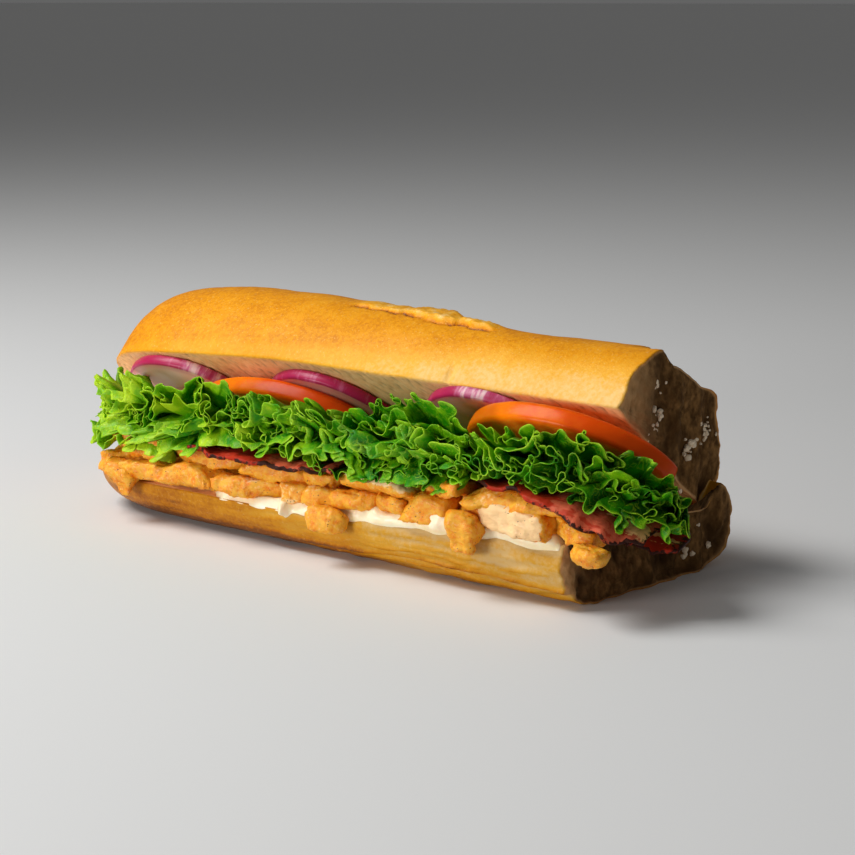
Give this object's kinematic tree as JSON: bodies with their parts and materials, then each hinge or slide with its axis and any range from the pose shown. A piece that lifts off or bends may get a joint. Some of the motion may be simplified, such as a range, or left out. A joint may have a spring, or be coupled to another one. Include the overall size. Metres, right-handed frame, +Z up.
{
  "type": "chicken and bacon sandwich",
  "caption": "Split crusty roll opened along its front, filled with seasoned chicken, bacon, frilly lettuce, tomato and red onion; lies on its flat underside.",
  "frame": {"origin": "under the middle of the whole sandwich, on the surface that its flat underside rests on", "axes": "+X along the roll from the rounded end to the torn end, -Y towards the open side, +Z up"},
  "size_m": [0.232, 0.0864, 0.0724],
  "materials": {
    "bread": "baked golden crust, paler towards the cut, open crumb at the torn end",
    "cream": "soft white mayonnaise",
    "chicken": "moist cooked chicken with an orange seasoned outside and paler cut flesh",
    "bacon": "fried rashers, deep red with pale fat and charred edges",
    "lettuce": "fresh frilled leaf, waxy, with paler rims",
    "tomato": "wet orange-red skin and flesh",
    "onion": "purple striped skin edge with a pale pink cut face"
  },
  "bodies": {
    "root": {"bread": "bread", "mayonnaise": "cream", "chicken_01": "chicken", "chicken_02": "chicken", "chicken_03": "chicken", "chicken_04": "chicken", "chicken_05": "chicken", "chicken_06": "chicken", "chicken_07": "chicken", "chicken_08": "chicken", "chicken_09": "chicken", "chicken_10": "chicken", "chicken_11": "chicken", "chicken_12": "chicken", "chicken_13": "chicken", "chicken_14": "chicken", "chicken_15": "chicken", "chicken_16": "chicken", "chicken_17": "chicken", "chicken_18": "chicken", "chicken_19": "chicken", "chicken_20": "chicken", "chicken_21": "chicken", "chicken_22": "chicken", "chicken_23": "chicken", "chicken_24": "chicken", "chicken_25": "chicken", "chicken_26": "chicken", "chicken_27": "chicken", "chicken_28": "chicken", "bacon_left": "bacon", "bacon_right": "bacon", "bacon_tip": "bacon", "lettuce_left_low": "lettuce", "lettuce_left_top": "lettuce", "lettuce_middle_low": "lettuce", "lettuce_middle_mid": "lettuce", "lettuce_middle_top": "lettuce", "lettuce_right_low": "lettuce", "lettuce_right_mid": "lettuce", "tomato_left": "tomato", "tomato_right": "tomato", "onion_left": "onion", "onion_middle": "onion", "onion_right": "onion"}
  },
  "joints": []
}
